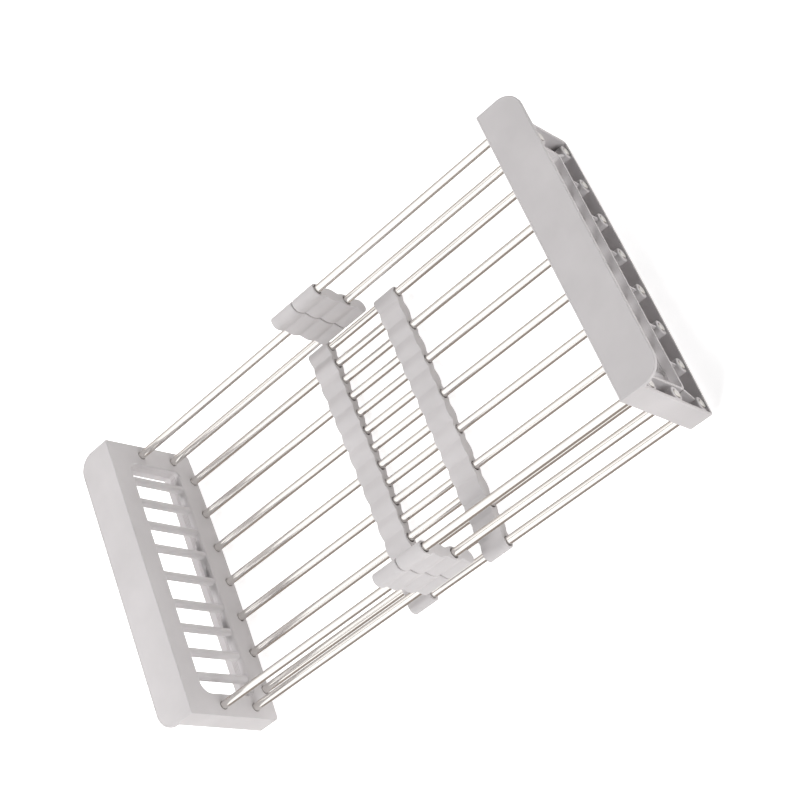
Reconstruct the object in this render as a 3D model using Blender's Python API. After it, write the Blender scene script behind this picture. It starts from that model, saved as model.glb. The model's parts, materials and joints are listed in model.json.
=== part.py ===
"""Extending sink-top drying basket: two sliding halves of steel rods with moulded plastic ends.

Axes: X runs along the rods, Y across the basket, Z up.  The basket stands on the lower edges of
its two end panels at Z = 0 and is drawn fully pulled out.  Each half owns one end panel, one set of
rods, one floor comb and two side clips.  The rods of the halves alternate around the basket, so
every comb and clip grips the rods of its own half and guides those of the other half.
"""
import math

import bmesh
import bpy
from mathutils import Vector

MM = 0.001

# --- driving dimensions, millimetres ---------------------------------------------------------
INNER_X = 172.5            # inner face of each end panel, from the middle
PANEL_WIDTH = 210.0        # at the lower edge
PANEL_TAPER = 1.5          # each side leans in by this much up to the flange
PANEL_HEIGHT = 82.0
PANEL_DEPTH = 15.2         # perimeter wall, measured outward from the inner face
PANEL_WALL = 2.0
PANEL_PLATE = 2.2
PANEL_BOW = 2.8            # lower edge hangs this much lower in the middle than at its ends
PANEL_CORNER = 3.0
FLANGE_REACH = 29.0
FLANGE_THICK = 2.5
FLANGE_CORNER = 13.0
EDGE_ROUND = 0.8

WINDOW_HALF = 88.0
WINDOW_LOW = 20.0
WINDOW_HIGH = 65.4
WINDOW_CORNER_HIGH = 8.0
WINDOW_CORNER_LOW = 2.5
WINDOW_LIP = 3.0           # rounding between the inner face and the window floor
RIM_WALL = 1.8
RIM_DEPTH = 13.0

SLAT_RADIUS = 2.9
SLAT_OFFSETS = (0.0, 21.0, 39.2, 57.4, 74.8)

ROD_RADIUS = 2.75
SOCKET_GAP = 0.2
SLIDE_GAP = 0.6
END_GAP = 0.3

SIDE_ROD_Y = 96.3
FLOOR_ROWS = 14            # equal steps between the two corner rods
FLOOR_ROD_Z = 5.0          # middle rod of the floor
FLOOR_ROD_RISE = 1.1       # corner rods lie this much higher than the middle one
SIDE_ROD_Z = (20.8, 35.6, 50.7, 64.7)

BOSS_RADIUS = 4.9
BOSS_DEPTH = 13.6
ROD_PROUD = 0.5            # rods stand out of their bosses by this much
RIB_THICK = 1.6
BOSS_RIB_THICK = 1.3

SEAM_X = -1.8              # where the side clips of the two halves meet
CLIP_LENGTH = 19.4
COMB_GAP = 3.3
COMB_WIDTH = 17.6
STRIP_BULGE = 4.8          # half thickness of combs and clips at a rod
STRIP_WAIST = 3.1          # half thickness between two rods
VALLEY_SOFTNESS = 0.28     # of the valleys between two lobes; large values give a plain wave
ROD_BITE = 2.0             # plastic left beyond the end of a gripped rod

ROUND_SEGMENTS = 24
SLAT_SEGMENTS = 16
BOW_STEPS = 13             # odd, so that the lower edge has a level facet in its middle
WAVE_SAMPLES = 6           # per step between neighbouring rods

# --- colours ---------------------------------------------------------------------------------
PLASTIC_COLOUR = (0.63, 0.60, 0.59, 1.0)
STEEL_COLOUR = (0.72, 0.70, 0.67, 1.0)
PLASTIC_ROUGHNESS = 0.42
STEEL_ROUGHNESS = 0.14


def clear_scene():
    """Remove every object and the meshes and materials left behind."""
    for item in list(bpy.data.objects):
        bpy.data.objects.remove(item, do_unlink=True)
    for mesh in list(bpy.data.meshes):
        bpy.data.meshes.remove(mesh)
    for material in list(bpy.data.materials):
        bpy.data.materials.remove(material)


def make_material(name, colour, roughness, metallic):
    material = bpy.data.materials.new(name)
    material.use_nodes = True
    shader = material.node_tree.nodes["Principled BSDF"]
    shader.inputs["Base Color"].default_value = colour
    shader.inputs["Roughness"].default_value = roughness
    shader.inputs["Metallic"].default_value = metallic
    return material


def object_from_bmesh(name, bm):
    """Turn a closed bmesh in millimetres into a linked object in metres."""
    bmesh.ops.recalc_face_normals(bm, faces=bm.faces)
    mesh = bpy.data.meshes.new(name)
    bm.to_mesh(mesh)
    bm.free()
    item = bpy.data.objects.new(name, mesh)
    bpy.context.collection.objects.link(item)
    return item


def add_prism(bm, outline, axis, start, end):
    """Extrude a closed outline along 'X', 'Y' or 'Z'.

    The outline holds the two other coordinates in the order XY, XZ or YZ.
    """
    def place(pair, depth):
        if axis == "X":
            return Vector((depth, pair[0], pair[1])) * MM
        if axis == "Y":
            return Vector((pair[0], depth, pair[1])) * MM
        return Vector((pair[0], pair[1], depth)) * MM

    lower = [bm.verts.new(place(pair, start)) for pair in outline]
    upper = [bm.verts.new(place(pair, end)) for pair in outline]
    bm.faces.new(lower)
    bm.faces.new(upper)
    count = len(outline)
    for index in range(count):
        following = (index + 1) % count
        bm.faces.new((lower[index], lower[following], upper[following], upper[index]))


def prism(name, outline, axis, start, end):
    bm = bmesh.new()
    add_prism(bm, outline, axis, start, end)
    return object_from_bmesh(name, bm)


def circle(centre_a, centre_b, radius, segments=ROUND_SEGMENTS):
    return [
        (
            centre_a + radius * math.cos(2.0 * math.pi * (step + 0.5) / segments),
            centre_b + radius * math.sin(2.0 * math.pi * (step + 0.5) / segments),
        )
        for step in range(segments)
    ]


def cylinders(name, centres, radius, axis, start, end, segments=ROUND_SEGMENTS):
    """One object holding a separate cylinder for every centre."""
    bm = bmesh.new()
    for centre in centres:
        add_prism(bm, circle(centre[0], centre[1], radius, segments), axis, start, end)
    return object_from_bmesh(name, bm)


def rounded_outline(corners, steps=6):
    """Round each corner (a, b, radius) of a convex outline given in counter-clockwise order."""
    outline = []
    count = len(corners)
    for index in range(count):
        here = Vector(corners[index][:2])
        radius = corners[index][2]
        if radius <= 0.0:
            outline.append(tuple(here))
            continue
        before = (Vector(corners[index - 1][:2]) - here).normalized()
        after = (Vector(corners[(index + 1) % count][:2]) - here).normalized()
        half_angle = before.angle(after) / 2.0
        centre = here + (before + after).normalized() * (radius / math.sin(half_angle))
        reach = radius / math.tan(half_angle)
        first = here + before * reach - centre
        last = here + after * reach - centre
        sweep = first.angle_signed(last)
        for step in range(steps + 1):
            turn = -sweep * step / steps
            outline.append((
                centre.x + first.x * math.cos(turn) - first.y * math.sin(turn),
                centre.y + first.x * math.sin(turn) + first.y * math.cos(turn),
            ))
    return outline


def combine(target, tool, operation):
    """Apply one exact boolean to target and remove the tool."""
    modifier = target.modifiers.new("cut", "BOOLEAN")
    modifier.operation = operation
    modifier.solver = "EXACT"
    modifier.object = tool
    depsgraph = bpy.context.evaluated_depsgraph_get()
    result = bpy.data.meshes.new_from_object(target.evaluated_get(depsgraph))
    target.modifiers.clear()
    spent = target.data
    target.data = result
    bpy.data.meshes.remove(spent)
    tool_mesh = tool.data
    bpy.data.objects.remove(tool, do_unlink=True)
    bpy.data.meshes.remove(tool_mesh)


def clean_mesh(item):
    """Drop doubled points and slivers left by the booleans."""
    bm = bmesh.new()
    bm.from_mesh(item.data)
    bmesh.ops.remove_doubles(bm, verts=bm.verts, dist=0.00001)
    bmesh.ops.dissolve_limit(
        bm, angle_limit=0.0005, verts=bm.verts, edges=bm.edges, delimit={"NORMAL"}
    )
    bmesh.ops.triangulate(bm, faces=bm.faces)
    bmesh.ops.recalc_face_normals(bm, faces=bm.faces)
    bm.to_mesh(item.data)
    bm.free()


def finish_node(item, name, colour, roughness, metallic, parent):
    """Name the node, give it its own material, smooth its round faces and hang it on its half."""
    item.name = name
    item.data.name = name
    item.data.materials.clear()
    item.data.materials.append(make_material("mat_" + name, colour, roughness, metallic))
    item.data.shade_smooth()
    item.data.set_sharp_from_angle(angle=math.radians(32.0))
    item.parent = parent


# --- where the rods run ------------------------------------------------------------------------
def floor_row_z(y):
    return FLOOR_ROD_Z + FLOOR_ROD_RISE * (y / SIDE_ROD_Y) ** 2


def floor_rods(half):
    """(y, z) of the floor rods of one half, from the front to the back."""
    step = 2.0 * SIDE_ROD_Y / FLOOR_ROWS
    first = 0 if half == "right" else 1
    ys = [-SIDE_ROD_Y + step * index for index in range(first, FLOOR_ROWS + 1, 2)]
    return [(y, floor_row_z(y)) for y in ys]


def side_rods(half, sign):
    """(y, z) of the side rods of one half, from the lowest up."""
    picks = (1, 3) if half == "right" else (0, 2)
    return [(sign * SIDE_ROD_Y, SIDE_ROD_Z[pick]) for pick in picks]


OTHER = {"left": "right", "right": "left"}
OUTWARD = {"left": -1.0, "right": 1.0}
SIDES = {"front": -1.0, "back": 1.0}


def half_rods(half):
    rods = floor_rods(half)
    for sign in SIDES.values():
        rods = rods + side_rods(half, sign)
    return rods


# --- end panels ----------------------------------------------------------------------------------
def panel_outline(inset):
    """Outline of an end panel in Y and Z with its bowed lower edge, shrunk by inset."""
    half = PANEL_WIDTH / 2.0 - inset
    top = PANEL_HEIGHT - FLANGE_THICK if inset > 0.0 else PANEL_HEIGHT - EDGE_ROUND
    corner = max(PANEL_CORNER - inset, 0.8)
    lower = []
    reach = half - corner
    for index in range(BOW_STEPS + 1):
        y = -reach + 2.0 * reach * index / BOW_STEPS
        lower.append((y, PANEL_BOW * (y / reach) ** 2 + inset))
    centre_z = lower[-1][1] + corner
    right = [
        (reach + corner * math.sin(turn), centre_z - corner * math.cos(turn))
        for turn in (math.radians(angle) for angle in (22.5, 45.0, 67.5, 90.0))
    ]
    left = [(-y, z) for y, z in reversed(right)]
    leaning = half - PANEL_TAPER
    return lower + right + [(leaning, top), (-leaning, top)] + left


def window_outline(grow):
    """Outline of the window in Y and Z, grown outward by grow."""
    half = WINDOW_HALF + grow
    low = WINDOW_LOW - grow
    high = WINDOW_HIGH + grow
    return rounded_outline([
        (-half, low, WINDOW_CORNER_LOW + grow),
        (half, low, WINDOW_CORNER_LOW + grow),
        (half, high, WINDOW_CORNER_HIGH + grow),
        (-half, high, WINDOW_CORNER_HIGH + grow),
    ])


def flange_outline(inset):
    """Outline of the flange in X and Y: square at the basket, rounded at the outer corners."""
    half = PANEL_WIDTH / 2.0 - PANEL_TAPER - inset
    reach = FLANGE_REACH - inset
    return rounded_outline([
        (inset, -half, 0.0),
        (reach, -half, FLANGE_CORNER - inset),
        (reach, half, FLANGE_CORNER - inset),
        (inset, half, 0.0),
    ], steps=8)


def flange_solid():
    """Flange plate whose upper edge is eased all round."""
    rings = (
        (0.0, PANEL_HEIGHT - FLANGE_THICK),
        (0.0, PANEL_HEIGHT - EDGE_ROUND),
        (EDGE_ROUND * 0.3, PANEL_HEIGHT - EDGE_ROUND * 0.3),
        (EDGE_ROUND, PANEL_HEIGHT),
    )
    bm = bmesh.new()
    rows = []
    for inset, z in rings:
        rows.append([bm.verts.new(Vector((x, y, z)) * MM) for x, y in flange_outline(inset)])
    count = len(rows[0])
    for lower, upper in zip(rows, rows[1:]):
        for index in range(count):
            following = (index + 1) % count
            bm.faces.new((lower[index], lower[following], upper[following], upper[index]))
    bm.faces.new(rows[0])
    bm.faces.new(rows[-1])
    return object_from_bmesh("flange", bm)


def lip_outline():
    """Section in X and Z removed to round the edge between the inner face and the window floor."""
    centre_x = WINDOW_LIP
    centre_z = WINDOW_LOW - WINDOW_LIP
    steps = 6
    arc = []
    for index in range(steps + 1):
        turn = math.radians(180.0 - 90.0 * index / steps)
        arc.append((centre_x + WINDOW_LIP * math.cos(turn), centre_z + WINDOW_LIP * math.sin(turn)))
    return [(-1.0, centre_z)] + arc + [(centre_x, WINDOW_LOW + 1.0), (-1.0, WINDOW_LOW + 1.0)]


def rib_outline(start, boss, thick):
    """Outline in Y and Z of a thin rib from the window rim to the near side of a boss."""
    start = Vector(start)
    stop = Vector(boss)
    along = (stop - start).normalized()
    stop = stop - along * (BOSS_RADIUS - 1.0)
    across = Vector((-along.y, along.x)) * (thick / 2.0)
    return [tuple(start + across), tuple(stop + across), tuple(stop - across), tuple(start - across)]


def panel_ribs(half):
    """Outlines of all ribs of a panel: one to each corner, one to each floor boss below the window."""
    outlines = []
    for sign in SIDES.values():
        start = (sign * (WINDOW_HALF + RIM_WALL * 0.4), WINDOW_LOW - RIM_WALL * 0.4)
        outlines.append(rib_outline(start, (sign * SIDE_ROD_Y, floor_row_z(SIDE_ROD_Y)), RIB_THICK))
    for y, z in floor_rods(half):
        if abs(y) < WINDOW_HALF:
            outlines.append(rib_outline((y, WINDOW_LOW - RIM_WALL * 0.5), (y, z), BOSS_RIB_THICK))
    return outlines


def build_panel(half, parent):
    """One moulded end panel: plate, window with slats, perimeter wall, flange and rod bosses.

    It is shaped with its inner face at X = 0 and outward along +X, then set in place.
    """
    rods = half_rods(half)
    panel = prism("panel", panel_outline(0.0), "X", 0.0, PANEL_DEPTH)
    tray = prism("tray", panel_outline(PANEL_WALL), "X", PANEL_PLATE, PANEL_DEPTH + 5.0)
    combine(tray, prism("rim", window_outline(RIM_WALL), "X", PANEL_PLATE - 1.0, RIM_DEPTH),
            "DIFFERENCE")
    combine(panel, tray, "DIFFERENCE")
    combine(panel, flange_solid(), "UNION")
    bosses = cylinders("bosses", rods, BOSS_RADIUS, "X", PANEL_PLATE / 2.0, BOSS_DEPTH)
    combine(bosses, prism("limits", panel_outline(PANEL_WALL / 2.0), "X", 0.0, PANEL_DEPTH),
            "INTERSECT")
    combine(panel, bosses, "UNION")
    for outline in panel_ribs(half):
        combine(panel, prism("rib", outline, "X", PANEL_PLATE / 2.0, RIM_DEPTH - 1.0), "UNION")
    combine(panel, prism("window", window_outline(0.0), "X", -1.0, PANEL_DEPTH + 1.0),
            "DIFFERENCE")
    lip_half = WINDOW_HALF - WINDOW_CORNER_LOW
    combine(panel, prism("lip", lip_outline(), "Y", -lip_half, lip_half), "DIFFERENCE")
    slat_centres = [(SLAT_RADIUS, offset) for offset in SLAT_OFFSETS]
    slat_centres = slat_centres + [(SLAT_RADIUS, -offset) for offset in SLAT_OFFSETS[1:]]
    combine(panel, cylinders("slats", slat_centres, SLAT_RADIUS, "Z",
                             WINDOW_LOW - RIM_WALL * 0.6, WINDOW_HIGH + RIM_WALL * 0.6,
                             SLAT_SEGMENTS), "UNION")
    combine(panel, cylinders("bores", rods, ROD_RADIUS + SOCKET_GAP, "X", -1.0, BOSS_DEPTH + 1.0),
            "DIFFERENCE")
    clean_mesh(panel)
    for vertex in panel.data.vertices:
        vertex.co.x = OUTWARD[half] * (vertex.co.x + INNER_X * MM)
    if OUTWARD[half] < 0.0:
        panel.data.flip_normals()
    finish_node(panel, half + "_end_panel", PLASTIC_COLOUR, PLASTIC_ROUGHNESS, 0.0, parent)


# --- combs and clips -----------------------------------------------------------------------------
def wave(position):
    """Half thickness of a strip; position counts rods, so whole numbers are rods."""
    share = math.hypot(math.cos(math.pi * position), VALLEY_SOFTNESS) - VALLEY_SOFTNESS
    full = math.hypot(1.0, VALLEY_SOFTNESS) - VALLEY_SOFTNESS
    return STRIP_WAIST + (STRIP_BULGE - STRIP_WAIST) * share / full


def strip_outline(centres):
    """Outline that bulges round every rod centre and narrows between them, with round ends."""
    points = [Vector(centre) for centre in centres]
    upper = []
    lower = []
    for index in range(len(points) - 1):
        here = points[index]
        there = points[index + 1]
        normal = Vector((here.y - there.y, there.x - here.x)).normalized()
        for step in range(WAVE_SAMPLES):
            part = step / WAVE_SAMPLES
            if step == 0 and index == 0:
                continue
            spot = here.lerp(there, part)
            upper.append(spot + normal * wave(part))
            lower.append(spot - normal * wave(part))

    def cap(end, inner):
        outward = (end - inner).normalized()
        side = Vector((-outward.y, outward.x))
        arc = []
        for step in range(9):
            turn = math.radians(-90.0 + 180.0 * step / 8.0)
            arc.append(end + (outward * math.cos(turn) + side * math.sin(turn)) * STRIP_BULGE)
        return arc

    outline = cap(points[-1], points[-2]) + list(reversed(upper))
    outline = outline + cap(points[0], points[1]) + lower
    return [tuple(point) for point in outline]


def build_strip(name, own, guided, x_start, x_end, grip_at_end, parent):
    """A comb or clip along one row of rods.

    own rods are gripped in blind sockets that stop short of the far face, guided rods run through
    wider holes.  grip_at_end is the face, 'start' or 'end' along X, where own rods come in.
    """
    centres = sorted(own + guided, key=lambda rod: (rod[0], rod[1]))
    strip = prism("strip", strip_outline(centres), "X", x_start, x_end)
    if grip_at_end == "end":
        socket = (x_start + ROD_BITE - END_GAP, x_end + 1.0)
    else:
        socket = (x_start - 1.0, x_end - ROD_BITE + END_GAP)
    combine(strip, cylinders("sockets", own, ROD_RADIUS + SOCKET_GAP, "X", *socket), "DIFFERENCE")
    combine(strip, cylinders("guides", guided, ROD_RADIUS + SLIDE_GAP, "X",
                             x_start - 1.0, x_end + 1.0), "DIFFERENCE")
    clean_mesh(strip)
    finish_node(strip, name, PLASTIC_COLOUR, PLASTIC_ROUGHNESS, 0.0, parent)


def clip_span(half):
    """X range of the side clips of one half; they meet those of the other half at the seam."""
    gap = END_GAP / 2.0
    if half == "right":
        return SEAM_X - CLIP_LENGTH, SEAM_X - gap
    return SEAM_X + gap, SEAM_X + CLIP_LENGTH


def comb_span(half):
    """X range of the floor comb of one half, beyond its own side clips."""
    if half == "right":
        end = SEAM_X - CLIP_LENGTH - COMB_GAP
        return end - COMB_WIDTH, end
    start = SEAM_X + CLIP_LENGTH + COMB_GAP
    return start, start + COMB_WIDTH


def build_combs_and_clips(half, parent):
    grip = "end" if half == "right" else "start"
    other = OTHER[half]
    build_strip(half + "_floor_comb", floor_rods(half), floor_rods(other), *comb_span(half),
                grip, parent)
    for side, sign in SIDES.items():
        build_strip(half + "_side_clip_" + side, side_rods(half, sign), side_rods(other, sign),
                    *clip_span(half), grip, parent)


# --- rods ----------------------------------------------------------------------------------------
def build_rod(name, centre, half, inner_face, parent):
    """A rod from its boss in the end panel to its socket in the comb or clip of the same half."""
    outer = OUTWARD[half] * (INNER_X + BOSS_DEPTH + ROD_PROUD)
    inner = inner_face + OUTWARD[half] * ROD_BITE
    rod = cylinders("rod", [centre], ROD_RADIUS, "X", min(outer, inner), max(outer, inner))
    finish_node(rod, name, STEEL_COLOUR, STEEL_ROUGHNESS, 1.0, parent)


def build_rods(half, parent):
    pick = 0 if half == "right" else 1
    comb_face = comb_span(half)[pick]
    clip_face = clip_span(half)[pick]
    for number, centre in enumerate(floor_rods(half), start=1):
        build_rod("{}_floor_rod_{}".format(half, number), centre, half, comb_face, parent)
    for side, sign in SIDES.items():
        for level, centre in zip(("low", "high"), side_rods(half, sign)):
            build_rod("{}_side_rod_{}_{}".format(half, side, level), centre, half, clip_face,
                      parent)


def main():
    clear_scene()
    for half in ("left", "right"):
        parent = bpy.data.objects.new(half + "_half", None)
        parent.empty_display_size = 0.02
        bpy.context.collection.objects.link(parent)
        build_panel(half, parent)
        build_combs_and_clips(half, parent)
        build_rods(half, parent)


main()
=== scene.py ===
"""Looks of the extending drying basket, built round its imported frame.

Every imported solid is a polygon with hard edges.  Each one is replaced here by a piece of the same size
with round sections, eased edges and its own finish: moulded plastic for the end panels, combs and clips,
polished steel for the rods.  Lengths are in millimetres unless a name ends in _M.
"""

import json
import math

import bmesh
import bpy
from mathutils import Matrix, Vector


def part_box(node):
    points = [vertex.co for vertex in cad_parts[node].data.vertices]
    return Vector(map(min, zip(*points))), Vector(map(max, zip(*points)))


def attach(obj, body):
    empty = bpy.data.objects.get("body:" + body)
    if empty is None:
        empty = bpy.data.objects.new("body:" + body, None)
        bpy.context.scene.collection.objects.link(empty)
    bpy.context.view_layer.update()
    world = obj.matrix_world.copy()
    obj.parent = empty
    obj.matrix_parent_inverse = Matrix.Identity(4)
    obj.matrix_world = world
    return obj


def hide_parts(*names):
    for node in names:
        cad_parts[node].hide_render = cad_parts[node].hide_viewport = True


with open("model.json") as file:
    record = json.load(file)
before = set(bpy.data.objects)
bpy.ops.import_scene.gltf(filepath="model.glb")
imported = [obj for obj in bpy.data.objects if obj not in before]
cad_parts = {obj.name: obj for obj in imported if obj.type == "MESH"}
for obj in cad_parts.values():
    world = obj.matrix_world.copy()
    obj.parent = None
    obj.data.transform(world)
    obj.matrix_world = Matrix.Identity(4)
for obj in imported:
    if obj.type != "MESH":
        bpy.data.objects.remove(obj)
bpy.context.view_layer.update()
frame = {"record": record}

MM = 0.001
HALVES = ("left", "right")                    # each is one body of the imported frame
OTHER = {"left": "right", "right": "left"}
OUTWARD = {"left": -1.0, "right": 1.0}
BODIES = frame["record"]["behaviour"]["bodies"]

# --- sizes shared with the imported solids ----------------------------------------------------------
PANEL_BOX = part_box("right_end_panel")
INNER_X = PANEL_BOX[0].x / MM
PANEL_WIDTH = (PANEL_BOX[1].y - PANEL_BOX[0].y) / MM
PANEL_HEIGHT = PANEL_BOX[1].z / MM
FLANGE_REACH = (PANEL_BOX[1].x - PANEL_BOX[0].x) / MM
PANEL_TAPER = 1.5          # each side leans in by this much up to the flange
PANEL_DEPTH = 15.2         # perimeter wall, measured outward from the inner face
PANEL_WALL = 2.0
PANEL_PLATE = 2.2
PANEL_BOW = 2.8            # lower edge hangs this much lower in the middle than at its ends
PANEL_CORNER = 3.0
FLANGE_THICK = 2.5
FLANGE_CORNER = 13.0
FLANGE_ROUND = 0.8
WINDOW_HALF = 88.0
WINDOW_LOW = 20.0
WINDOW_HIGH = 65.4
WINDOW_CORNER_HIGH = 8.0
WINDOW_CORNER_LOW = 2.5
WINDOW_LIP = 3.0           # rounding between the inner face and the window floor
RIM_WALL = 1.8
RIM_DEPTH = 13.0
SLAT_RADIUS = 2.9
SLAT_OFFSETS = (0.0, 21.0, 39.2, 57.4, 74.8)
ROD_RADIUS = 2.75
FLOOR_ROD_RISE = 1.1       # the outermost floor rods lie this much higher than the middle one
BOSS_RADIUS = 4.9
BOSS_DEPTH = 13.6
CORNER_RIB_THICK = 1.6
BOSS_RIB_THICK = 1.3
SOCKET_GAP = 0.2           # between a rod and the hole that holds it
SLIDE_GAP = 0.6            # between a rod and the hole that it slides through
ROD_BITE = 2.0             # plastic left beyond the end of a gripped rod, with END_GAP of room
END_GAP = 0.3
STRIP_BULGE = 4.8          # half thickness of combs and clips at a rod
STRIP_WAIST = 3.1          # half thickness between two rods

# --- finer detail of the visible pieces -----------------------------------------------------------
EDGE = 0.45                # easing of moulded edges
WINDOW_EDGE = 0.9          # easing of the window where it meets the inner face
WALL_EDGE = 0.3            # easing of thin wall ends
BOSS_EDGE = 0.7            # easing of the outer ends of the bosses
SEAM_EDGE = 1.0            # easing of the clips where the halves meet
FLANGE_UNDER_EDGE = 0.25   # easing of the lower edge of the flange
FLANGE_UNDER_MID = 0.07    # the same easing, half-way round
FLANGE_INNER_CORNER = 0.4
MOUTH = 0.25               # easing of the mouths of round holes
ROD_CHAMFER = 0.4
TRAY_FILLET = 0.6          # rounding where the plate meets the perimeter wall
SMALLEST_CORNER = 0.8
GROOVE_DEPTHS = (3.8, 5.0, 6.2, 7.4)   # fine grooves in the window wall, outward from the inner face
GROOVE_WIDTH = 0.8
GROOVE_CUT = 0.3
SLAT_INSET = 0.12          # slats stand back from the inner face by this much
SLAT_ROOT = RIM_WALL * 0.6          # slats reach this deep into the wall round the window
CORNER_RIB_ROOT = RIM_WALL * 0.4    # corner ribs start this deep in the same wall
BOSS_RIB_ROOT = RIM_WALL * 0.5      # ribs above the bosses end this deep in it
CORNER_RIB_STOP = 2.6      # corner ribs stop this far in and above the centre of the outermost rod
BOSS_RIB_BITE = 1.0        # ribs above the bosses start this deep in the boss
RIB_DROP = 0.6             # ribs are this much lower than the wall round the window
RIM_LINE_WIDTH = 0.35      # flat part of the fine raised line round the top of the flange
RIM_LINE_DEPTH = 0.12
VALLEY = 0.10              # softness of the valleys between two lobes; large values give a plain wave
PAST = 1.0                 # cutters reach this far past the solid that they cut

ROUND_SEGMENTS = 48
BOW_STEPS = 48
ARC_STEPS = 10
CAP_STEPS = 24
LOBE_SAMPLES = 20
SMOOTH_ANGLE = math.radians(32.0)
MERGE_M = 0.000004
DEGENERATE_M = 0.000002

# --- colours, light and camera --------------------------------------------------------------------
PLASTIC_COLOUR = (0.60, 0.576, 0.580, 1.0)
STEEL_COLOUR = (0.80, 0.78, 0.755, 1.0)
WHITE = (1.0, 1.0, 1.0, 1.0)

FLOOR_HALF_M = 20.0
FLOOR_DROP_M = 0.0003      # the floor lies just below the feet of the basket
FLOOR_ALBEDO = (0.88, 0.88, 0.88, 1.0)
FLOOR_ROUGHNESS = 0.8
FLOOR_GLOW = 0.66
FLOOR_PAINTED_REFLECTION = (0.38, 0.33, 0.295, 1.0)    # painted shade: the floor as polished surfaces see it, dark in place of the contact shadow round the rods

TENT_AXIS = (0.0, -0.5, 0.87)                 # the tent is brightest this way
TENT_DARK_FROM = -0.4                         # along the axis, where the tent is darkest
TENT_BRIGHT_FROM = 0.6                        # and where it is brightest
TENT_DARK = (0.46, 0.40, 0.36, 1.0)
TENT_BRIGHT = (1.45, 1.44, 1.43, 1.0)

SOFTBOX_REACH_M = 1.7
SOFTBOXES = (                 # azimuth, elevation, width and height in metres, power
    (0.0, 6.0, 0.9, 0.25, 2.0),
    (65.0, 14.0, 0.5, 0.4, 1.6),
    (300.0, 8.0, 0.7, 0.4, 3.9),
    (330.0, 8.0, 0.7, 0.4, 6.4),
    (180.0, 8.0, 0.9, 0.4, 3.4),
    (90.0, 45.0, 0.6, 0.6, 11.0),
    (180.0, 45.0, 0.6, 0.6, 8.0),
    (225.0, 45.0, 0.6, 0.6, 14.0),
    (0.0, 90.0, 0.9, 0.9, 4.5),
)

CAMERA_PLACE_M = Vector((0.4583, -0.4707, 0.8085))
CAMERA_RIGHT = Vector((0.70919689, -0.34663530, -0.61390858))
CAMERA_UP = Vector((0.55880435, 0.80731080, 0.18970233))
CAMERA_BACK = Vector((0.42985750, -0.47759109, 0.76624362))
CAMERA_SENSOR = 36.0
CAMERA_LENS = 72.93
CAMERA_NEAR_M = 0.01
CAMERA_FAR_M = 40.0

# sockets of a Mix node that mixes colours
MIX_FACTOR = 0
MIX_FIRST = 6
MIX_SECOND = 7
MIX_RESULT = 2


# --- mesh helpers ---------------------------------------------------------------------------------
def object_from_bmesh(name, bm):
    """Turn a bmesh into an object of the scene, with its normals outward."""
    bmesh.ops.recalc_face_normals(bm, faces=bm.faces)
    mesh = bpy.data.meshes.new(name)
    bm.to_mesh(mesh)
    bm.free()
    item = bpy.data.objects.new(name, mesh)
    bpy.context.scene.collection.objects.link(item)
    return item


def add_loft(bm, rings):
    """Skin closed rings of equal count, given as lists of points, and cap both ends."""
    rows = [[bm.verts.new(Vector(point) * MM) for point in ring] for ring in rings]
    count = len(rows[0])
    for lower, upper in zip(rows, rows[1:]):
        for index in range(count):
            following = (index + 1) % count
            bm.faces.new((lower[index], lower[following], upper[following], upper[index]))
    bm.faces.new(rows[0])
    bm.faces.new(rows[-1])


def loft(name, rings):
    """One closed solid through the rings."""
    bm = bmesh.new()
    add_loft(bm, rings)
    return object_from_bmesh(name, bm)


def along_x(outline, x):
    """Points of a (y, z) outline at one x."""
    return [(x, y, z) for y, z in outline]


def circle(a, b, radius, segments=ROUND_SEGMENTS):
    """Points of a circle round (a, b)."""
    turns = [2.0 * math.pi * (step + 0.5) / segments for step in range(segments)]
    return [(a + radius * math.cos(turn), b + radius * math.sin(turn)) for turn in turns]


def turned(name, centres, stations):
    """Round bars along X through every (y, z) centre; stations are (x, radius) pairs."""
    bm = bmesh.new()
    for y, z in centres:
        add_loft(bm, [along_x(circle(y, z, radius), x) for x, radius in stations])
    return object_from_bmesh(name, bm)


def eased(radius, steps=3):
    """(back, in) offsets along a quarter round that eases an edge, from the side to the end."""
    turns = [math.pi / 2.0 * step / steps for step in range(steps + 1)]
    return [(radius * (1.0 - math.sin(turn)), radius * (1.0 - math.cos(turn))) for turn in turns]


def rounded_outline(corners, steps=ARC_STEPS):
    """Round each corner (a, b, radius) of a convex outline given in counter-clockwise order."""
    outline = []
    count = len(corners)
    for index in range(count):
        here = Vector(corners[index][:2])
        radius = corners[index][2]
        before = (Vector(corners[index - 1][:2]) - here).normalized()
        after = (Vector(corners[(index + 1) % count][:2]) - here).normalized()
        half_angle = before.angle(after) / 2.0
        centre = here + (before + after).normalized() * (radius / math.sin(half_angle))
        reach = radius / math.tan(half_angle)
        first = here + before * reach - centre
        last = here + after * reach - centre
        sweep = first.angle_signed(last)
        for step in range(steps + 1):
            turn = -sweep * step / steps
            outline.append((
                centre.x + first.x * math.cos(turn) - first.y * math.sin(turn),
                centre.y + first.x * math.sin(turn) + first.y * math.cos(turn),
            ))
    return outline


def combine(target, tool, operation):
    """Apply one exact boolean to target and remove the tool."""
    modifier = target.modifiers.new("cut", "BOOLEAN")
    modifier.operation = operation
    modifier.solver = "EXACT"
    modifier.object = tool
    depsgraph = bpy.context.evaluated_depsgraph_get()
    result = bpy.data.meshes.new_from_object(target.evaluated_get(depsgraph))
    target.modifiers.clear()
    spent = target.data
    target.data = result
    bpy.data.meshes.remove(spent)
    tool_mesh = tool.data
    bpy.data.objects.remove(tool, do_unlink=True)
    bpy.data.meshes.remove(tool_mesh)


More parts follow.
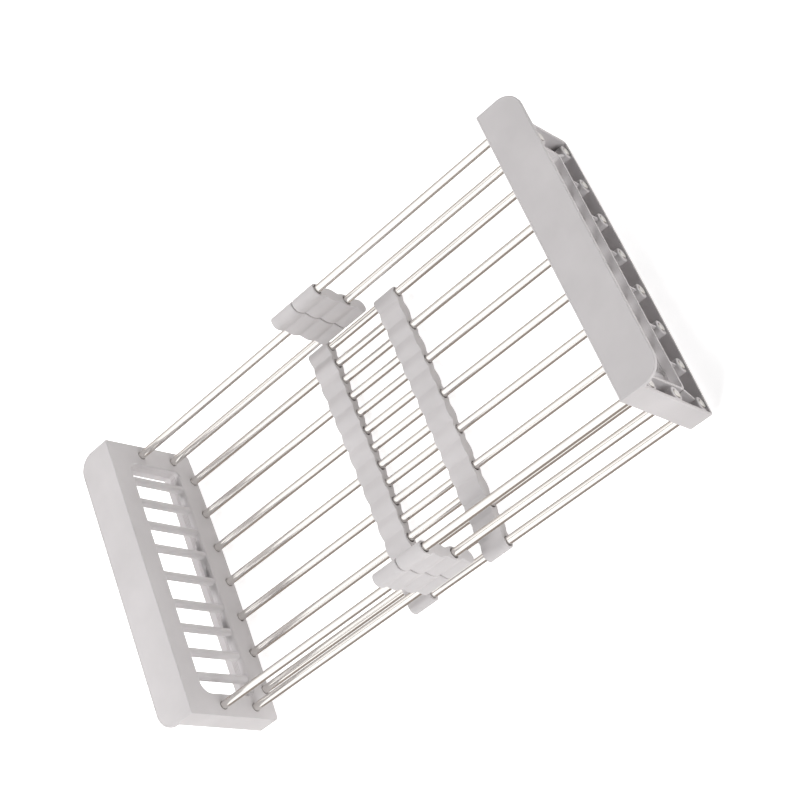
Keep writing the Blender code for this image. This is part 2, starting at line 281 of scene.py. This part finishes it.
def finish_piece(item, node, body, material):
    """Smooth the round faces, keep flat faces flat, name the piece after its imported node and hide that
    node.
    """
    bm = bmesh.new()
    bm.from_mesh(item.data)
    bmesh.ops.remove_doubles(bm, verts=bm.verts, dist=MERGE_M)
    bmesh.ops.dissolve_degenerate(bm, edges=bm.edges, dist=DEGENERATE_M)
    bm.to_mesh(item.data)
    bm.free()
    item.name = node + "_shape"
    item.data.name = item.name
    item.data.materials.clear()
    item.data.materials.append(material)
    item.data.shade_smooth()
    item.data.set_sharp_from_angle(angle=SMOOTH_ANGLE)
    weigh = item.modifiers.new("even_normals", "WEIGHTED_NORMAL")
    weigh.mode = "FACE_AREA_WITH_ANGLE"
    weigh.weight = 80
    weigh.keep_sharp = True
    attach(item, body)
    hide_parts(node)


# --- where the rods run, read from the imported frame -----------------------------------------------
def node_names(half, word):
    """Names of the nodes of one half that have the word in them."""
    return sorted(name for name in BODIES[half + "_half"] if word in name)


def rod_centre(node):
    """Where a rod's axis crosses the Y and Z plane."""
    low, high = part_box(node)
    return ((low.y + high.y) / 2.0 / MM, (low.z + high.z) / 2.0 / MM)


def rod_centres(half, word):
    """Centres of the rods of one half that have the word in their names."""
    return [rod_centre(node) for node in node_names(half, word)]


def node_span(node):
    """Where a node starts and ends along X."""
    low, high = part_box(node)
    return low.x / MM, high.x / MM


# --- end panels, shaped with the inner face at X = 0 and the outside towards +X ---------------------
def panel_outline(inset):
    """Outline of an end panel in Y and Z with its bowed lower edge, shrunk by inset."""
    half = PANEL_WIDTH / 2.0 - inset
    top = PANEL_HEIGHT - FLANGE_ROUND - 0.5 * inset
    corner = max(PANEL_CORNER - inset, SMALLEST_CORNER)
    reach = half - corner
    lower = []
    for index in range(BOW_STEPS + 1):
        y = -reach + 2.0 * reach * index / BOW_STEPS
        lower.append((y, PANEL_BOW * (y / reach) ** 2 + inset))
    centre_z = lower[-1][1] + corner
    turns = [math.radians(90.0 * (step + 1) / ARC_STEPS) for step in range(ARC_STEPS)]
    right = [(reach + corner * math.sin(turn), centre_z - corner * math.cos(turn)) for turn in turns]
    left = [(-y, z) for y, z in reversed(right)]
    leaning = half - PANEL_TAPER
    return lower + right + [(leaning, top), (-leaning, top)] + left


def window_outline(grow):
    """Outline of the window in Y and Z, grown outward by grow."""
    half = WINDOW_HALF + grow
    low = WINDOW_LOW - grow
    high = WINDOW_HIGH + grow
    return rounded_outline([
        (-half, low, WINDOW_CORNER_LOW + grow),
        (half, low, WINDOW_CORNER_LOW + grow),
        (half, high, WINDOW_CORNER_HIGH + grow),
        (-half, high, WINDOW_CORNER_HIGH + grow),
    ])


def panel_tray():
    """Inner plate and perimeter wall as one dish, open outward, with every edge eased."""
    stations = [(across, back) for back, across in reversed(eased(EDGE))]
    stations = stations + [(across, PANEL_DEPTH - back) for back, across in eased(WALL_EDGE)]
    stations = stations + [
        (PANEL_WALL - across, PANEL_DEPTH - back) for back, across in reversed(eased(WALL_EDGE))]
    stations = stations + [
        (PANEL_WALL + TRAY_FILLET - TRAY_FILLET * math.cos(turn),
         PANEL_PLATE + TRAY_FILLET - TRAY_FILLET * math.sin(turn))
        for turn in (0.0, math.pi / 6.0, math.pi / 3.0, math.pi / 2.0)]
    return loft("panel", [along_x(panel_outline(inset), x) for inset, x in stations])


def rim_block():
    """Solid block that becomes the wall round the window."""
    stations = [(RIM_WALL, PANEL_PLATE / 2.0)]
    stations = stations + [(RIM_WALL - across, RIM_DEPTH - back) for back, across in eased(WALL_EDGE)]
    return loft("rim", [along_x(window_outline(grow), x) for grow, x in stations])


def window_cutter():
    """Opening of the window: eased at both faces, with fine grooves near the inner one."""
    stations = [(WINDOW_EDGE, -PAST)]
    stations = stations + [(across, back) for back, across in reversed(eased(WINDOW_EDGE))]
    for x in GROOVE_DEPTHS:
        stations.append((0.0, x - GROOVE_WIDTH / 2.0))
        stations.append((GROOVE_CUT, x - GROOVE_WIDTH / 4.0))
        stations.append((GROOVE_CUT, x))
        stations.append((0.0, x + GROOVE_WIDTH / 2.0))
    stations = stations + [(across, RIM_DEPTH - back) for back, across in eased(WALL_EDGE)]
    stations.append((WALL_EDGE, PANEL_DEPTH + PAST))
    return loft("window", [along_x(window_outline(grow), x) for grow, x in stations])


def lip_cutter():
    """Rounds the edge between the inner face and the window floor."""
    centre_z = WINDOW_LOW - WINDOW_LIP
    section = [(-PAST, centre_z)]
    for step in range(ARC_STEPS + 1):
        turn = math.pi - math.pi / 2.0 * step / ARC_STEPS
        section.append((
            WINDOW_LIP + WINDOW_LIP * math.cos(turn),
            centre_z + WINDOW_LIP * math.sin(turn),
        ))
    section = section + [(WINDOW_LIP, WINDOW_LOW + PAST), (-PAST, WINDOW_LOW + PAST)]
    half = WINDOW_HALF - WINDOW_CORNER_LOW
    return loft("lip", [[(x, y, z) for x, z in section] for y in (-half, half)])


def flange_outline(inset):
    """Outline of the flange in X and Y, shrunk by inset."""
    half = PANEL_WIDTH / 2.0 - PANEL_TAPER - inset
    reach = FLANGE_REACH - inset
    return rounded_outline([
        (inset, -half, FLANGE_INNER_CORNER),
        (reach, -half, FLANGE_CORNER - inset),
        (reach, half, FLANGE_CORNER - inset),
        (inset, half, FLANGE_INNER_CORNER),
    ], steps=ARC_STEPS * 2)


def flange_solid():
    """Flange plate with a round upper edge, a raised line inside it and a fine easing below."""
    low = PANEL_HEIGHT - FLANGE_THICK
    line_start = FLANGE_ROUND + RIM_LINE_WIDTH
    stations = [
        (FLANGE_UNDER_EDGE, low),
        (FLANGE_UNDER_MID, low + FLANGE_UNDER_MID),
        (0.0, low + FLANGE_UNDER_EDGE),
    ]
    stations = stations + [
        (across, PANEL_HEIGHT - back) for back, across in eased(FLANGE_ROUND, steps=5)]
    stations.append((line_start, PANEL_HEIGHT))
    stations.append((line_start + RIM_LINE_DEPTH, PANEL_HEIGHT - RIM_LINE_DEPTH))
    return loft("flange", [[(x, y, z) for x, y in flange_outline(inset)] for inset, z in stations])


def boss_cluster(rods):
    """Round bosses that hold the rods, kept inside the middle of the perimeter wall."""
    stations = [(PANEL_PLATE / 2.0, BOSS_RADIUS)]
    stations = stations + [
        (BOSS_DEPTH - back, BOSS_RADIUS - across) for back, across in eased(BOSS_EDGE, steps=4)]
    bosses = turned("bosses", rods, stations)
    limits = loft("limits", [along_x(panel_outline(PANEL_WALL / 2.0), x) for x in (0.0, PANEL_DEPTH)])
    combine(bosses, limits, "INTERSECT")
    return bosses


def rib(start, stop, thick):
    """Thin rib from (y, z) start to stop, standing on the plate."""
    start = Vector(start)
    stop = Vector(stop)
    along = (stop - start).normalized()
    across = Vector((-along.y, along.x)) * (thick / 2.0)
    section = [start + across, stop + across, stop - across, start - across]
    return loft("rib", [along_x(section, x) for x in (PANEL_PLATE / 2.0, RIM_DEPTH - RIB_DROP)])


def panel_ribs(floor, side):
    """A rib from each lower corner of the window to the corner rod, and one above each other floor boss."""
    corner_y = max(y for y, z in side)
    corner_z = min(z for y, z in floor) + FLOOR_ROD_RISE
    ribs = []
    for sign in (-1.0, 1.0):
        start = (sign * (WINDOW_HALF + CORNER_RIB_ROOT), WINDOW_LOW - CORNER_RIB_ROOT)
        stop = (sign * (corner_y - CORNER_RIB_STOP), corner_z + CORNER_RIB_STOP)
        ribs.append(rib(start, stop, CORNER_RIB_THICK))
    for y, z in floor:
        if abs(y) < WINDOW_HALF:
            start = (y, z + BOSS_RADIUS - BOSS_RIB_BITE)
            ribs.append(rib(start, (y, WINDOW_LOW - BOSS_RIB_ROOT), BOSS_RIB_THICK))
    return ribs


def window_slats():
    """Upright round slats across the window."""
    slats = []
    for offset in SLAT_OFFSETS + tuple(-offset for offset in SLAT_OFFSETS[1:]):
        ring = circle(SLAT_RADIUS + SLAT_INSET, offset, SLAT_RADIUS)
        slats.append(loft("slat", [
            [(x, y, z) for x, y in ring] for z in (WINDOW_LOW - SLAT_ROOT, WINDOW_HIGH + SLAT_ROOT)]))
    return slats


def rod_bores(rods):
    """Round holes for the rods, through plate and bosses, with eased mouths."""
    hole = ROD_RADIUS + SOCKET_GAP
    return turned("bores", rods, [
        (-PAST, hole + MOUTH), (0.0, hole + MOUTH), (MOUTH, hole),
        (BOSS_DEPTH - MOUTH, hole), (BOSS_DEPTH, hole + MOUTH), (BOSS_DEPTH + PAST, hole + MOUTH),
    ])


def build_panel(half, material):
    """One moulded end panel, set in place at the end."""
    floor = rod_centres(half, "_floor_rod_")
    side = rod_centres(half, "_side_rod_")
    rods = floor + side
    panel = panel_tray()
    combine(panel, rim_block(), "UNION")
    combine(panel, flange_solid(), "UNION")
    combine(panel, boss_cluster(rods), "UNION")
    for piece in panel_ribs(floor, side):
        combine(panel, piece, "UNION")
    combine(panel, window_cutter(), "DIFFERENCE")
    combine(panel, lip_cutter(), "DIFFERENCE")
    for slat in window_slats():
        combine(panel, slat, "UNION")
    combine(panel, rod_bores(rods), "DIFFERENCE")
    for vertex in panel.data.vertices:
        vertex.co.x = OUTWARD[half] * (vertex.co.x + INNER_X * MM)
    if OUTWARD[half] < 0.0:
        panel.data.flip_normals()
    finish_piece(panel, half + "_end_panel", half + "_half", material)


# --- combs and clips ------------------------------------------------------------------------------
def lobe(position):
    """Half thickness of a strip; whole numbers of position are rods."""
    swing = math.sqrt(math.cos(math.pi * position) ** 2 + VALLEY ** 2) - VALLEY
    return STRIP_WAIST + (STRIP_BULGE - STRIP_WAIST) * swing / (math.sqrt(1.0 + VALLEY ** 2) - VALLEY)


def strip_cap(end, inner, inset):
    """Round end of a strip at the rod centre end, away from its neighbour inner."""
    outward = (end - inner).normalized()
    side = Vector((-outward.y, outward.x))
    turns = [math.radians(-90.0 + 180.0 * step / CAP_STEPS) for step in range(CAP_STEPS + 1)]
    reach = STRIP_BULGE - inset
    return [end + (outward * math.cos(turn) + side * math.sin(turn)) * reach for turn in turns]


def strip_outline(centres, inset):
    """Outline with a lobe round every rod centre and round ends, shrunk by inset."""
    points = [Vector(centre) for centre in centres]
    upper = []
    lower = []
    for index, (here, there) in enumerate(zip(points, points[1:])):
        normal = Vector((here.y - there.y, there.x - here.x)).normalized()
        first_step = 1 if index == 0 else 0
        for step in range(first_step, LOBE_SAMPLES):
            part = step / LOBE_SAMPLES
            spot = here.lerp(there, part)
            upper.append(spot + normal * (lobe(part) - inset))
            lower.append(spot - normal * (lobe(part) - inset))
    outline = strip_cap(points[-1], points[-2], inset) + list(reversed(upper))
    outline = outline + strip_cap(points[0], points[1], inset) + lower
    return [tuple(point) for point in outline]


def strip_socket(half, x_start, x_end):
    """Blind socket for the end of an own rod, open towards the half's own end panel."""
    tight = ROD_RADIUS + SOCKET_GAP
    if half == "right":
        return [
            (x_start + ROD_BITE - END_GAP, tight), (x_end - MOUTH, tight),
            (x_end, tight + MOUTH), (x_end + PAST, tight + MOUTH),
        ]
    return [
        (x_start - PAST, tight + MOUTH), (x_start, tight + MOUTH),
        (x_start + MOUTH, tight), (x_end - ROD_BITE + END_GAP, tight),
    ]


def build_strip(node, half, own, guided, material):
    """A comb or clip: own rods sit in blind sockets, the others run through wider holes."""
    x_start, x_end = node_span(node)
    centres = sorted(own + guided)
    start_edge = SEAM_EDGE if "clip" in node and half == "left" else EDGE
    end_edge = SEAM_EDGE if "clip" in node and half == "right" else EDGE
    stations = [(across, x_start + back) for back, across in reversed(eased(start_edge))]
    stations = stations + [(across, x_end - back) for back, across in eased(end_edge)]
    strip = loft("strip", [along_x(strip_outline(centres, inset), x) for inset, x in stations])
    combine(strip, turned("sockets", own, strip_socket(half, x_start, x_end)), "DIFFERENCE")
    wide = ROD_RADIUS + SLIDE_GAP
    combine(strip, turned("guides", guided, [
        (x_start - PAST, wide + MOUTH), (x_start, wide + MOUTH), (x_start + MOUTH, wide),
        (x_end - MOUTH, wide), (x_end, wide + MOUTH), (x_end + PAST, wide + MOUTH),
    ]), "DIFFERENCE")
    finish_piece(strip, node, half + "_half", material)


def build_strips(half, material):
    """The floor comb and the two side clips of one half."""
    other = OTHER[half]
    build_strip(half + "_floor_comb", half, rod_centres(half, "_floor_rod_"),
                rod_centres(other, "_floor_rod_"), material)
    for place in ("front", "back"):
        word = "_side_rod_" + place
        build_strip(half + "_side_clip_" + place, half, rod_centres(half, word),
                    rod_centres(other, word), material)


# --- rods -----------------------------------------------------------------------------------------
def build_rods(half, material):
    """Every floor and side rod of one half, with eased ends."""
    ease = eased(ROD_CHAMFER, steps=4)
    for node in node_names(half, "_rod_"):
        x_start, x_end = node_span(node)
        stations = [(x_start + back, ROD_RADIUS - across) for back, across in reversed(ease)]
        stations = stations + [(x_end - back, ROD_RADIUS - across) for back, across in ease]
        rod = turned("rod", [rod_centre(node)], stations)
        finish_piece(rod, node, half + "_half", material)


# --- materials ------------------------------------------------------------------------------------
class Nodes:
    """Small helper that adds and links the shader nodes of a material or world."""

    def __init__(self, owner):
        owner.use_nodes = True
        self.tree = owner.node_tree
        self.shader = self.tree.nodes.get("Principled BSDF")

    def add(self, kind, values=None, **settings):
        """New node with its settings, then its sockets set or linked by name or index."""
        node = self.tree.nodes.new(kind)
        for key, value in settings.items():
            setattr(node, key, value)
        for key, value in (values or {}).items():
            self.feed(node.inputs[key], value)
        return node

    def feed(self, socket, value):
        """Link a socket to another one, or give it a constant."""
        if isinstance(value, bpy.types.NodeSocket):
            self.tree.links.new(value, socket)
        else:
            socket.default_value = value

    def noise(self, stretch, size, detail, roughness):
        """Noise in the object's own coordinates."""
        place = self.add("ShaderNodeTexCoord")
        spread = self.add("ShaderNodeMapping", {"Vector": place.outputs["Object"], "Scale": stretch})
        node = self.add("ShaderNodeTexNoise", {
            "Vector": spread.outputs[0], "Scale": size, "Detail": detail, "Roughness": roughness})
        return node.outputs["Fac"]

    def remap(self, value, low, high, from_low=0.0, from_high=1.0):
        """Stretch a range of values to low and high, clamped at both ends."""
        node = self.add("ShaderNodeMapRange", {
            "Value": value, "From Min": from_low, "From Max": from_high, "To Min": low, "To Max": high})
        return node.outputs["Result"]

    def math(self, operation, first, second):
        """One sum of two values."""
        node = self.add("ShaderNodeMath", {0: first, 1: second}, operation=operation)
        return node.outputs[0]

    def dot(self, first, second):
        """Dot product of two directions."""
        node = self.add("ShaderNodeVectorMath", {0: first, 1: second}, operation="DOT_PRODUCT")
        return node.outputs["Value"]

    def tint(self, factor, first, second):
        """Blend from the first colour to the second."""
        node = self.add("ShaderNodeMix", data_type="RGBA")
        self.feed(node.inputs[MIX_FACTOR], factor)
        self.feed(node.inputs[MIX_FIRST], first)
        self.feed(node.inputs[MIX_SECOND], second)
        return node.outputs[MIX_RESULT]


def scaled(colour, factor):
    """The colour made brighter or darker, with full opacity."""
    return tuple(min(1.0, factor * part) for part in colour[:3]) + (1.0,)


def plastic(name, colour):
    """Satin moulded plastic: fine grain, faint flow marks and slightly worn gloss."""
    material = bpy.data.materials.new(name)
    nodes = Nodes(material)
    clouds = nodes.noise(stretch=(1.0, 1.0, 1.0), size=22.0, detail=4.0, roughness=0.55)
    flow = nodes.noise(stretch=(1.0, 0.35, 1.0), size=90.0, detail=3.0, roughness=0.6)
    grain = nodes.noise(stretch=(1.0, 1.0, 1.0), size=2600.0, detail=2.0, roughness=0.6)
    patches = nodes.remap(clouds, low=0.0, high=1.0, from_low=0.35, from_high=0.65)
    base = nodes.tint(patches, scaled(colour, 0.94), scaled(colour, 1.03))
    nodes.feed(nodes.shader.inputs["Base Color"], base)
    worn = nodes.remap(flow, low=0.34, high=0.46, from_low=0.3, from_high=0.7)
    rough = nodes.math("ADD", worn, nodes.remap(grain, low=-0.03, high=0.03))
    nodes.feed(nodes.shader.inputs["Roughness"], rough)
    height = nodes.math("ADD", nodes.math("MULTIPLY", grain, 0.7), nodes.math("MULTIPLY", flow, 0.9))
    bump = nodes.add("ShaderNodeBump", {"Strength": 0.12, "Distance": 0.00012, "Height": height})
    nodes.feed(nodes.shader.inputs["Normal"], bump.outputs[0])
    nodes.shader.inputs["IOR"].default_value = 1.49
    nodes.shader.inputs["Specular IOR Level"].default_value = 0.45
    return material


def steel(name, colour):
    """Polished steel rod: drawing lines along the rod, faint smears and duller sawn ends."""
    material = bpy.data.materials.new(name)
    nodes = Nodes(material)
    lines = nodes.noise(stretch=(0.01, 1.0, 1.0), size=900.0, detail=2.0, roughness=0.5)
    smears = nodes.noise(stretch=(0.35, 1.0, 1.0), size=60.0, detail=3.0, roughness=0.6)
    patches = nodes.remap(smears, low=0.0, high=1.0, from_low=0.3, from_high=0.7)
    base = nodes.tint(patches, scaled(colour, 0.92), colour)
    nodes.feed(nodes.shader.inputs["Base Color"], base)
    drawn = nodes.remap(lines, low=0.12, high=0.17, from_low=0.3, from_high=0.7)
    smeared = nodes.remap(smears, low=0.0, high=0.05, from_low=0.45, from_high=0.75)
    rough = nodes.math("ADD", drawn, smeared)
    geometry = nodes.add("ShaderNodeNewGeometry")
    facing = nodes.dot(geometry.outputs["Normal"], (1.0, 0.0, 0.0))
    sawn = nodes.math("GREATER_THAN", nodes.math("ABSOLUTE", facing, 0.0), 0.8)
    duller = nodes.math("ADD", rough, nodes.remap(sawn, low=0.0, high=0.38))
    nodes.feed(nodes.shader.inputs["Roughness"], duller)
    nodes.feed(nodes.shader.inputs["Metallic"], nodes.remap(sawn, low=1.0, high=0.25))
    return material


# --- floor, light and camera ----------------------------------------------------------------------
def add_floor():
    """Pale floor with a slight glow; polished surfaces see it in a darker painted colour, painted shade in
    place of the contact shadow round the rods.
    """
    bm = bmesh.new()
    corners = [(-1.0, -1.0), (1.0, -1.0), (1.0, 1.0), (-1.0, 1.0)]
    bm.faces.new([
        bm.verts.new((x * FLOOR_HALF_M, y * FLOOR_HALF_M, -FLOOR_DROP_M)) for x, y in corners])
    floor = object_from_bmesh("floor", bm)
    material = bpy.data.materials.new("pale_floor")
    nodes = Nodes(material)
    nodes.shader.inputs["Base Color"].default_value = FLOOR_ALBEDO
    nodes.shader.inputs["Roughness"].default_value = FLOOR_ROUGHNESS
    nodes.shader.inputs["Emission Color"].default_value = WHITE
    nodes.shader.inputs["Emission Strength"].default_value = FLOOR_GLOW
    # painted reflection: polished surfaces see the floor as a fixed dark colour, painted shade standing in
    # for the contact shadow round the rods
    rays = nodes.add("ShaderNodeLightPath")
    painted_reflection = nodes.add("ShaderNodeEmission", {"Color": FLOOR_PAINTED_REFLECTION})
    blend = nodes.add("ShaderNodeMixShader", {
        0: rays.outputs["Is Glossy Ray"], 1: nodes.shader.outputs[0], 2: painted_reflection.outputs[0]})
    nodes.feed(nodes.tree.nodes["Material Output"].inputs["Surface"], blend.outputs[0])
    floor.data.materials.append(material)


def add_camera():
    """Camera at the place and with the lens that match the object's proportions."""
    data = bpy.data.cameras.new("photo_camera")
    data.sensor_width = CAMERA_SENSOR
    data.lens = CAMERA_LENS
    data.clip_start = CAMERA_NEAR_M
    data.clip_end = CAMERA_FAR_M
    item = bpy.data.objects.new("photo_camera", data)
    bpy.context.scene.collection.objects.link(item)
    turn = Matrix((CAMERA_RIGHT, CAMERA_UP, CAMERA_BACK)).transposed()
    item.matrix_world = Matrix.Translation(CAMERA_PLACE_M) @ turn.to_4x4()
    bpy.context.scene.camera = item


def add_world():
    """Studio tent that only polished surfaces reflect: bright overhead, dim low down at the back."""
    world = bpy.data.worlds.new("studio")
    bpy.context.scene.world = world
    nodes = Nodes(world)
    background = nodes.tree.nodes["Background"]
    place = nodes.add("ShaderNodeTexCoord")
    facing = nodes.dot(place.outputs["Generated"], TENT_AXIS)
    level = nodes.remap(facing, low=0.0, high=1.0, from_low=TENT_DARK_FROM, from_high=TENT_BRIGHT_FROM)
    nodes.feed(background.inputs["Color"], nodes.tint(level, TENT_DARK, TENT_BRIGHT))
    rays = nodes.add("ShaderNodeLightPath")
    nodes.feed(background.inputs["Strength"], rays.outputs["Is Glossy Ray"])


def add_softbox(azimuth, elevation, width, height, power):
    """Area light on a sphere round the object; azimuth turns from +X towards +Y."""
    turn = math.radians(azimuth)
    rise = math.radians(elevation)
    data = bpy.data.lights.new("softbox", "AREA")
    data.shape = "RECTANGLE"
    data.size = width
    data.size_y = height
    data.energy = power
    item = bpy.data.objects.new("softbox", data)
    bpy.context.scene.collection.objects.link(item)
    towards = Vector((math.cos(rise) * math.cos(turn), math.cos(rise) * math.sin(turn), math.sin(rise)))
    item.location = towards * SOFTBOX_REACH_M
    item.rotation_mode = "QUATERNION"
    item.rotation_quaternion = towards.to_track_quat("Z", "Y")
    item.visible_glossy = False


def main():
    """Build every piece, then the floor, the camera and the light."""
    panel_plastic = plastic("panel_plastic", PLASTIC_COLOUR)
    slider_plastic = plastic("slider_plastic", PLASTIC_COLOUR)
    rod_steel = steel("rod_steel", STEEL_COLOUR)
    for half in HALVES:
        build_panel(half, panel_plastic)
        build_strips(half, slider_plastic)
        build_rods(half, rod_steel)
    add_floor()
    add_camera()
    add_world()
    for softbox in SOFTBOXES:
        add_softbox(*softbox)
    bpy.context.scene.view_settings.view_transform = "Standard"


main()
